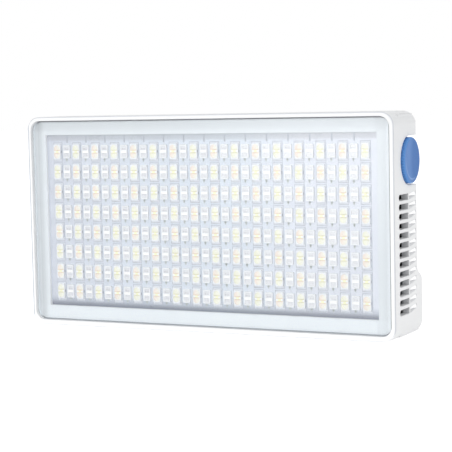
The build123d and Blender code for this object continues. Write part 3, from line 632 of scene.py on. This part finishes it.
def white_package(bm, lo, hi):
    """White LED: body with a racetrack cavity, a phosphor bed and a bright band across its middle."""
    x = (lo.x + hi.x) / 2
    z = (lo.z + hi.z) / 2
    half_x = (hi.x - lo.x) / 2
    back = hi.y
    front = lo.y
    cavity_x = half_x - 0.22 * MM
    cavity_z = (hi.z - lo.z) / 2 - 0.36 * MM
    slope = 0.10 * MM
    bed = front + 0.16 * MM
    rings = outer_rings(lo, hi) + [
        (cavity_x, cavity_z, cavity_x * 0.96, front),
        (cavity_x - slope, cavity_z - slope, (cavity_x - slope) * 0.96, bed),
        (cavity_x * 0.5, cavity_z * 0.7, cavity_x * 0.48, bed - 0.05 * MM),
    ]
    package_body(bm, (x, z), rings, [PACKAGE_BODY] * 3 + [PHOSPHOR_BED] * 3)
    # bright band: white ends and a yellow middle, edged by two deeper lines
    band = 0.30 * MM
    yellow = 0.62 * MM
    line = 0.42 * MM
    level = (front + 0.05 * MM, bed + 0.02 * MM)
    line_level = (front + 0.08 * MM, bed + 0.02 * MM)
    slab(bm, (x - cavity_x, x - yellow), level, (z - band, z + band), BAND_END)
    slab(bm, (x - yellow, x + yellow), level, (z - band, z + band), BAND_MIDDLE)
    slab(bm, (x + yellow, x + cavity_x), level, (z - band, z + band), BAND_END)
    # small metal tabs at both edges of the body
    tab = 0.10 * MM
    tab_level = (back - 0.35 * MM, back)
    tab_z = (z - 0.45 * MM, z + 0.45 * MM)
    for side in (-1, 1):
        line_z = sorted((z + side * band, z + side * (band + line)))
        slab(bm, (x - cavity_x + slope, x + cavity_x - slope), line_level, line_z, BAND_EDGE)
        slab(bm, sorted((x + side * half_x, x + side * (half_x + tab))), tab_level, tab_z, METAL_TAB)


def rgb_package(bm, lo, hi):
    """RGB LED: two grey resin pools with their chips, parted by a white bar."""
    x = (lo.x + hi.x) / 2
    z = (lo.z + hi.z) / 2
    front = lo.y
    cavity_x = (hi.x - lo.x) / 2 - 0.28 * MM
    cavity_z = (hi.z - lo.z) / 2 - 0.38 * MM
    slope = 0.12 * MM
    bed = front + 0.22 * MM
    rings = outer_rings(lo, hi) + [
        (cavity_x, cavity_z, 0.45 * MM, front),
        (cavity_x - slope, cavity_z - slope, 0.35 * MM, bed),
    ]
    package_body(bm, (x, z), rings, [RGB_BODY] * 4 + [RGB_POOL])
    slab(bm, (x - cavity_x, x + cavity_x), (front + 0.01 * MM, bed), (z - 0.42 * MM, z + 0.42 * MM), RGB_BAR)
    # three chips in the upper pool, given as (place, size) in millimetres
    foot = z + 0.85 * MM
    for place, size in ((-0.55, 0.42), (0.10, 0.30), (0.60, 0.30)):
        half = size / 2 * MM
        chip_x = (x + place * MM - half, x + place * MM + half)
        slab(bm, chip_x, (bed - 0.10 * MM, bed), (foot, foot + 2 * half), RGB_CHIP)
    # two wires in the lower pool
    half = 0.05 * MM
    wire_x = (x - 0.8 * MM, x + 0.8 * MM)
    for wire_z in (z - 0.62 * MM, z - 1.25 * MM):
        slab(bm, wire_x, (bed - 0.03 * MM, bed), (wire_z - half, wire_z + half), RGB_CHIP)


def cell_uv(mesh, boxes):
    """UV map named cell: each package's own width and height run from 0 to 1."""
    layer = mesh.uv_layers.new(name="cell")
    faces_each = len(mesh.polygons) // len(boxes)
    for polygon in mesh.polygons:
        lo, hi = boxes[polygon.index // faces_each]
        for index in polygon.loop_indices:
            point = mesh.vertices[mesh.loops[index].vertex_index].co
            layer.data[index].uv = ((point.x - lo.x) / (hi.x - lo.x), (point.z - lo.z) / (hi.z - lo.z))


def build_leds():
    for kind, bed, line in (("warm", WARM, WARM_LINE), ("cool", COOL, COOL_LINE)):
        bm = bmesh.new()
        boxes = islands(kind + "_leds")
        for lo, hi in boxes:
            white_package(bm, lo, hi)
        made = piece(kind + "_led_packages", bm, (PACKAGE, bed, LIT_YELLOW, LIT_WHITE, line, SOLDER),
                     (kind + "_leds",))
        cell_uv(made.data, boxes)
    bm = bmesh.new()
    for lo, hi in islands("rgb_leds"):
        rgb_package(bm, lo, hi)
    piece("rgb_led_packages", bm, (PACKAGE, POOL, CHIP, LIT_WHITE), ("rgb_leds",))


# ---------------------------------------------------------------- board pads and traces
def plate(bm, x, z, material, layers=1.0):
    """Thin plate on the front of the LED board, between pairs of limits."""
    slab(bm, x, (BOARD_FRONT - layers * MARK_DEPTH, BOARD_FRONT), z, material)


def disc(bm, x, z, radius, material):
    """Thin round plate on the front of the LED board."""
    corners = 14
    turns = [2 * math.pi * k / corners for k in range(corners)]
    loop = [(radius * math.cos(turn), radius * math.sin(turn)) for turn in turns]
    back = ring_verts(bm, (x, z), loop, BOARD_FRONT)
    front = ring_verts(bm, (x, z), loop, BOARD_FRONT - MARK_DEPTH)
    bridge(bm, back, front, material)
    cap(bm, front, material)


def white_marks(bm, lo, hi):
    """Pads under both ends of a white LED, inside a thin border."""
    pad_x = (lo.x - 0.28 * MM, hi.x + 0.28 * MM)
    plate(bm, pad_x, (lo.z - 0.95 * MM, lo.z + 0.5 * MM), MARK_PAD)
    plate(bm, pad_x, (hi.z - 0.5 * MM, hi.z + 0.45 * MM), MARK_PAD)
    half = 0.09 * MM
    raised = 1.2
    for z in (lo.z - 0.75 * MM, hi.z + 0.62 * MM):
        plate(bm, (lo.x - 0.42 * MM, hi.x + 0.42 * MM), (z - half, z + half), MARK_BORDER, raised)
    for x in (lo.x - 0.36 * MM, hi.x + 0.36 * MM):
        plate(bm, (x - half, x + half), (lo.z - 0.66 * MM, hi.z + 0.53 * MM), MARK_BORDER, raised)


def rgb_marks(bm, lo, hi):
    """Solder dots and short traces above and below an RGB LED."""
    x = (lo.x + hi.x) / 2
    disc(bm, x - 0.35 * MM, lo.z - 0.45 * MM, 0.46 * MM, MARK_DOT)
    plate(bm, (x - 0.52 * MM, x - 0.18 * MM), (lo.z - 1.25 * MM, lo.z - 0.42 * MM), MARK_DOT)
    disc(bm, x + 0.75 * MM, lo.z - 0.35 * MM, 0.22 * MM, MARK_PAD)
    disc(bm, x + 0.45 * MM, hi.z + 0.40 * MM, 0.24 * MM, MARK_PAD)
    plate(bm, (x - 0.12 * MM, x + 0.12 * MM), (hi.z, hi.z + 1.3 * MM), MARK_PAD)
    window_top = MIDDLE_Z + WINDOW_Z
    if hi.z > window_top - 5 * MM:
        # the feed lines of the columns come in from the top edge
        plate(bm, (x - 0.28 * MM, x + 0.28 * MM), (hi.z + 0.9 * MM, window_top), MARK_BORDER, 1.4)


def build_board_marks():
    """Tinned pads round the white LEDs, and solder dots and short traces at the RGB columns."""
    bm = bmesh.new()
    for node, marks in (("warm_leds", white_marks), ("cool_leds", white_marks), ("rgb_leds", rgb_marks)):
        for lo, hi in islands(node):
            marks(bm, lo, hi)
    pads = surface("pad under lacquer", (0.82, 0.85, 0.905), 0.32, vary=0.04, patch=700, grain=4000)
    dots = surface("solder dot", (0.64, 0.68, 0.68), 0.30, vary=0.06, patch=900, grain=4000)
    border = surface("pad border", (0.54, 0.57, 0.63), 0.32, vary=0.05, patch=700, grain=4000)
    piece("board_pads", bm, (pads, dots, border))


# ---------------------------------------------------------------- frame under the cover
def cover_ring(bm, half_x, half_z, corner, y):
    """Rounded outline of vertices round the middle of the cover."""
    return ring_verts(bm, (0, MIDDLE_Z), rounded_loop(half_x, half_z, corner, 8), y)


def build_surround():
    """Frame that falls a little towards the outside, with a soft lip round a square window."""
    outer_x = BEZEL_HI.x
    outer_z = (BEZEL_HI.z - BEZEL_LO.z) / 2
    front = BEZEL_LO.y
    back = BEZEL_HI.y
    corner = 3.4 * MM
    lip = 0.18 * MM
    lip_step = 0.05 * MM
    frame_rings = [
        (outer_x, outer_z, corner, back),
        (outer_x, outer_z, corner, front + 0.06 * MM),
        (outer_x - 1.2 * MM, outer_z - 1.2 * MM, corner - 1.2 * MM, front + 0.03 * MM),
        (outer_x - 3.0 * MM, outer_z - 3.0 * MM, 0.9 * MM, front),
        (WINDOW_X + lip, WINDOW_Z + lip, 0.10 * MM, front),
    ]
    edge_rings = [
        (WINDOW_X + lip_step, WINDOW_Z + lip_step, 0.06 * MM, front + lip_step),
        (WINDOW_X, WINDOW_Z, 0.05 * MM, front + lip),
        (WINDOW_X, WINDOW_Z, 0.05 * MM, back),
    ]
    bm = bmesh.new()
    verts = [cover_ring(bm, *ring) for ring in frame_rings + edge_rings]
    materials = [0] * len(frame_rings) + [1] * (len(edge_rings) - 1)
    for first, second, material in zip(verts, verts[1:], materials):
        bridge(bm, first, second, material)
    bridge(bm, verts[-1], verts[0], 0)
    # painted light: emission on the window's inner edge
    edge = surface("window edge", (0.93, 0.95, 0.97), 0.4, vary=0.01, grain=4000, bump=0.003, painted_light=0.10)
    piece("window_surround", bm, (SURROUND, edge), ("bezel_frame",))


def build_seal():
    """Bead of rubber in the seam round the cover, tucked a little under its edge."""
    lo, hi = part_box("cover_gasket")
    tuck = 0.12 * MM
    outer = (hi.x, (hi.z - lo.z) / 2, 3.6 * MM)
    inner = (COVER_HI.x - tuck, (COVER_HI.z - COVER_LO.z) / 2 - tuck, 3.3 * MM)
    bm = bmesh.new()
    outer_back, outer_front = [cover_ring(bm, *outer, y) for y in (hi.y, lo.y)]
    inner_back, inner_front = [cover_ring(bm, *inner, y) for y in (hi.y, lo.y)]
    bridge(bm, outer_back, outer_front, 0)
    bridge(bm, inner_front, inner_back, 0)
    bridge(bm, outer_front, inner_front, 0)
    bridge(bm, inner_back, outer_back, 0)
    piece("seam_bead", bm, (RUBBER,), ("cover_gasket",))


# ---------------------------------------------------------------- tripod thread
def build_thread():
    """Helical thread inside the brass insert."""
    crest = 2.55 * MM
    root = 3.18 * MM
    pitch = 1.27 * MM
    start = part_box("tripod_insert")[0].z + 0.65 * MM
    turns = 4
    steps = 36
    flank = 0.48 * pitch
    flat = 0.08 * pitch
    section = [(root, -flank), (crest, -flat), (crest, flat), (root, flank)]
    bm = bmesh.new()
    rings = []
    for k in range(turns * steps + 1):
        angle = 2 * math.pi * k / steps
        z = start + pitch * k / steps
        rings.append([bm.verts.new((r * math.cos(angle), r * math.sin(angle), z + dz)) for r, dz in section])
    cap(bm, rings[0], 0)
    for first, second in zip(rings, rings[1:]):
        bridge(bm, first, second, 0)
    cap(bm, rings[-1], 0)
    piece("tripod_thread", bm, (BRASS,))


# ---------------------------------------------------------------- CAD nodes and their materials
NODE_MATERIALS = {
    "casing": CASING_WHITE,
    "rear_cover": COVER_WHITE,
    "front_cover": CLEAR,
    "led_board": LED_BOARD,
    "thermal_pad": PAD,
    "heat_sink": SINK_BLACK,
    "fan_frame": BLACK,
    "fan_rotor": BLACK,
    "fan_shaft": STEEL,
    "fan_screws": DARK_STEEL,
    "control_board": GREEN,
    "board_screws": DARK_STEEL,
    "display_module": BLACK,
    "display_window": GLASS,
    "mode_button": KEY,
    "select_button": KEY,
    "effect_button": KEY,
    "button_switches": STEEL,
    "encoder_body": DARK_STEEL,
    "encoder_shaft": STEEL,
    "encoder_board": GREEN,
    "side_knob": BLUE,
    "side_board": GREEN,
    "power_switch": STEEL,
    "power_button": KEY,
    "usb_c_port": STEEL,
    "battery_cells": FILM,
    "battery_pads": FOAM,
    "tripod_insert": BRASS,
    "case_screws": STEEL,
}


def dress_nodes():
    for name, material in NODE_MATERIALS.items():
        for entry in NODES[name].material_slots:
            entry.link = "OBJECT"
            entry.material = material


# ---------------------------------------------------------------- stage, light and camera
def build_stage():
    """Plain pale floor under soft light from all round, with a little more from the front."""
    reach = 4
    corners = 64
    turns = [2 * math.pi * k / corners for k in range(corners)]
    bm = bmesh.new()
    bm.faces.new([bm.verts.new((reach * math.cos(turn), reach * math.sin(turn), 0)) for turn in turns])
    mesh = bpy.data.meshes.new("floor")
    bm.to_mesh(mesh)
    bm.free()
    floor = bpy.data.objects.new("floor", mesh)
    mesh.materials.append(light_table())
    bpy.context.scene.collection.objects.link(floor)
    bpy.context.scene.world = white_room()
    add_light("front soft box", (-0.14, -0.72, 0.22), (0.40, 0.50), 1.55)
    add_light("right front soft box", (0.42, -0.62, 0.12), (0.30, 0.40), 0.34)
    add_light("right back soft box", (0.50, 0.40, 0.03), (0.30, 0.20), 0.46)
    add_light("top soft box", (0.05, -0.30, 0.95), (0.9, 0.7), 1.5)


def light_table():
    """White floor, lit from below so that it shows no hard contact shadow."""
    paper = surface("floor paper", (0.62, 0.62, 0.62), 0.9, vary=0.003, patch=3, grain=60, specular=0.0)
    tree = paper.node_tree
    shader = tree.nodes["Principled BSDF"]
    shader.inputs["Emission Color"].default_value = (1, 1, 1, 1)
    cast_glow = 0.36
    seen_glow = 0.80
    seen = add(tree, "ShaderNodeLightPath").outputs["Is Camera Ray"]
    tree.links.new(remap(tree, seen, 0, 1, cast_glow, seen_glow), shader.inputs["Emission Strength"])
    # clear from below, so that the underside of the light can be looked at
    under = add(tree, "ShaderNodeNewGeometry").outputs["Backfacing"]
    clear = add(tree, "ShaderNodeBsdfTransparent").outputs[0]
    both = add(tree, "ShaderNodeMixShader", {"Fac": under, 1: shader.outputs[0], 2: clear})
    tree.links.new(both.outputs[0], tree.nodes["Material Output"].inputs["Surface"])
    return paper


def white_room():
    """White surroundings that light both ends a little less, and look plain white to the camera."""
    world = bpy.data.worlds.new("studio")
    world.use_nodes = True
    tree = world.node_tree
    background = tree.nodes["Background"]
    background.inputs["Color"].default_value = (1, 1, 1, 1)
    way = split(tree, add(tree, "ShaderNodeTexCoord").outputs["Generated"])
    room = remap(tree, maths(tree, "ABSOLUTE", way["X"], 0), 0.25, 0.95, 0.74, 0.62, True)
    seen = add(tree, "ShaderNodeLightPath").outputs["Is Camera Ray"]
    tree.links.new(maths(tree, "MAXIMUM", room, seen), background.inputs["Strength"])
    return world


def add_light(name, place, size, power):
    light = bpy.data.lights.new(name, "AREA")
    light.shape = "RECTANGLE"
    light.size, light.size_y = size
    light.energy = power
    lamp = bpy.data.objects.new(name, light)
    lamp.location = place
    aim = Vector((0, 0, MIDDLE_Z)) - Vector(place)
    lamp.rotation_euler = aim.to_track_quat("-Z", "Y").to_euler()
    bpy.context.scene.collection.objects.link(lamp)


def build_camera():
    """Long lens from the right of the front, a little above, held slightly out of level."""
    yaw = math.radians(26.3905)
    pitch = math.radians(4.797)
    roll = math.radians(-1.2457)
    place = Vector((0, COVER_LO.y, MIDDLE_Z)) + Vector((0.2538, -0.49237, 0.04545))
    forward = Vector((-math.sin(yaw) * math.cos(pitch), math.cos(yaw) * math.cos(pitch), -math.sin(pitch)))
    level = Vector((math.cos(yaw), math.sin(yaw), 0))
    upward = level.cross(forward)
    right = math.cos(roll) * level + math.sin(roll) * upward
    up = math.cos(roll) * upward - math.sin(roll) * level
    data = bpy.data.cameras.new("camera")
    data.sensor_width = 36
    data.lens = 121.96
    data.clip_start = 0.01
    data.clip_end = 20
    camera = bpy.data.objects.new("camera", data)
    turn = Matrix((right, up, -forward)).transposed().to_4x4()
    camera.matrix_world = Matrix.Translation(place) @ turn
    bpy.context.scene.collection.objects.link(camera)
    bpy.context.scene.camera = camera


build_leds()
build_board_marks()
build_surround()
build_seal()
build_thread()
dress_nodes()
build_stage()
build_camera()
bpy.context.scene.view_settings.view_transform = "Standard"
